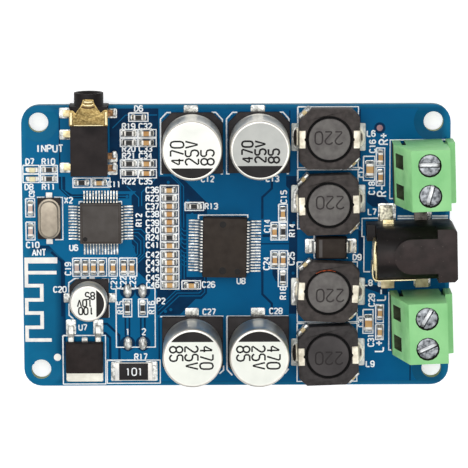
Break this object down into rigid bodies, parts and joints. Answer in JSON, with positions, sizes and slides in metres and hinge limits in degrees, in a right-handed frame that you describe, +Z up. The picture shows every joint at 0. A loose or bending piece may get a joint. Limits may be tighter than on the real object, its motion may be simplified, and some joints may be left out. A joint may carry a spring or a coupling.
{
  "type": "audio amplifier board",
  "caption": "Blue stereo amplifier board with screw terminals, a barrel power socket, an audio socket, can capacitors and shielded inductors.",
  "frame": {"origin": "centre of the board's underside", "axes": "+X along the length to the edge with the power socket and the screw terminals, +Y to the edge with the audio socket, +Z up through the board to the component side"},
  "size_m": [0.0727, 0.0505, 0.0162],
  "materials": {
    "solder_mask": "blue solder mask over copper on glass-epoxy laminate",
    "terminal_green": "light green moulded polyamide",
    "moulded_black": "black moulding compound",
    "ferrite": "grey ground ferrite",
    "enamelled_copper": "enamelled copper wire",
    "plated_steel": "zinc-plated steel",
    "tinned_metal": "tin-plated copper alloy",
    "plated_brass": "bright brass strip",
    "can_aluminium": "satin aluminium can",
    "crystal_silver": "nickel-silver can",
    "led_lens": "cream lens"
  },
  "bodies": {
    "board": {"circuit_board": "solder_mask", "right_terminal_housing": "terminal_green", "right_terminal_contact_1": "tinned_metal", "right_terminal_contact_2": "tinned_metal", "left_terminal_housing": "terminal_green", "left_terminal_contact_1": "tinned_metal", "left_terminal_contact_2": "tinned_metal", "power_socket_housing": "moulded_black", "power_socket_centre_pin": "tinned_metal", "power_socket_rear_strip": "plated_brass", "power_socket_sleeve_spring": "plated_brass", "power_socket_switch_contact": "plated_brass", "audio_socket_housing": "moulded_black", "audio_socket_shell": "plated_brass", "audio_socket_ring_contact": "tinned_metal", "audio_socket_tip_contact": "tinned_metal", "audio_socket_ring_switch": "tinned_metal", "audio_socket_tip_switch": "tinned_metal", "capacitor_1_can": "can_aluminium", "capacitor_1_base": "moulded_black", "capacitor_2_can": "can_aluminium", "capacitor_2_base": "moulded_black", "capacitor_3_can": "can_aluminium", "capacitor_3_base": "moulded_black", "capacitor_4_can": "can_aluminium", "capacitor_4_base": "moulded_black", "capacitor_5_can": "can_aluminium", "capacitor_5_base": "moulded_black", "inductor_1_shield": "ferrite", "inductor_1_drum": "ferrite", "inductor_1_winding": "enamelled_copper", "inductor_2_shield": "ferrite", "inductor_2_drum": "ferrite", "inductor_2_winding": "enamelled_copper", "inductor_3_shield": "ferrite", "inductor_3_drum": "ferrite", "inductor_3_winding": "enamelled_copper", "inductor_4_shield": "ferrite", "inductor_4_drum": "ferrite", "inductor_4_winding": "enamelled_copper", "receiver_chip": "moulded_black", "amplifier_chip": "moulded_black", "regulator_body": "moulded_black", "regulator_tab": "tinned_metal", "rectifier_diode": "moulded_black", "crystal_base": "moulded_black", "crystal_can": "crystal_silver", "current_resistor": "moulded_black", "indicator_led_1": "led_lens", "indicator_led_2": "led_lens"},
    "right_terminal_screw_1": {"right_terminal_screw_1": "plated_steel"},
    "right_terminal_screw_2": {"right_terminal_screw_2": "plated_steel"},
    "right_terminal_cage_1": {"right_terminal_cage_1": "plated_steel"},
    "right_terminal_cage_2": {"right_terminal_cage_2": "plated_steel"},
    "left_terminal_screw_1": {"left_terminal_screw_1": "plated_steel"},
    "left_terminal_screw_2": {"left_terminal_screw_2": "plated_steel"},
    "left_terminal_cage_1": {"left_terminal_cage_1": "plated_steel"},
    "left_terminal_cage_2": {"left_terminal_cage_2": "plated_steel"}
  },
  "joints": [
    {"name": "right_terminal_screw_1_turn", "type": "hinge", "parent": "board", "child": "right_terminal_screw_1", "pos_m": [0.03157, 0.01551, 0.015], "axis": [0, 0, -1], "range_deg": [0, 1590]},
    {"name": "right_terminal_screw_2_turn", "type": "hinge", "parent": "board", "child": "right_terminal_screw_2", "pos_m": [0.03173, 0.01043, 0.015], "axis": [0, 0, -1], "range_deg": [0, 1590]},
    {"name": "left_terminal_screw_1_turn", "type": "hinge", "parent": "board", "child": "left_terminal_screw_1", "pos_m": [0.03134, -0.01005, 0.015], "axis": [0, 0, -1], "range_deg": [0, 1590]},
    {"name": "left_terminal_screw_2_turn", "type": "hinge", "parent": "board", "child": "left_terminal_screw_2", "pos_m": [0.03152, -0.01513, 0.015], "axis": [0, 0, -1], "range_deg": [0, 1590]},
    {"name": "right_terminal_cage_1_rise", "type": "slide", "parent": "board", "child": "right_terminal_cage_1", "axis": [0, 0, 1], "range_m": [0, 0.0022]},
    {"name": "right_terminal_cage_2_rise", "type": "slide", "parent": "board", "child": "right_terminal_cage_2", "axis": [0, 0, 1], "range_m": [0, 0.0022]},
    {"name": "left_terminal_cage_1_rise", "type": "slide", "parent": "board", "child": "left_terminal_cage_1", "axis": [0, 0, 1], "range_m": [0, 0.0022]},
    {"name": "left_terminal_cage_2_rise", "type": "slide", "parent": "board", "child": "left_terminal_cage_2", "axis": [0, 0, 1], "range_m": [0, 0.0022]}
  ],
  "couplings": [
    {"joint": "right_terminal_screw_1_turn", "follows": "right_terminal_cage_1_rise", "rad_per_m": 12566},
    {"joint": "right_terminal_screw_2_turn", "follows": "right_terminal_cage_2_rise", "rad_per_m": 12566},
    {"joint": "left_terminal_screw_1_turn", "follows": "left_terminal_cage_1_rise", "rad_per_m": 12566},
    {"joint": "left_terminal_screw_2_turn", "follows": "left_terminal_cage_2_rise", "rad_per_m": 12566}
  ]
}
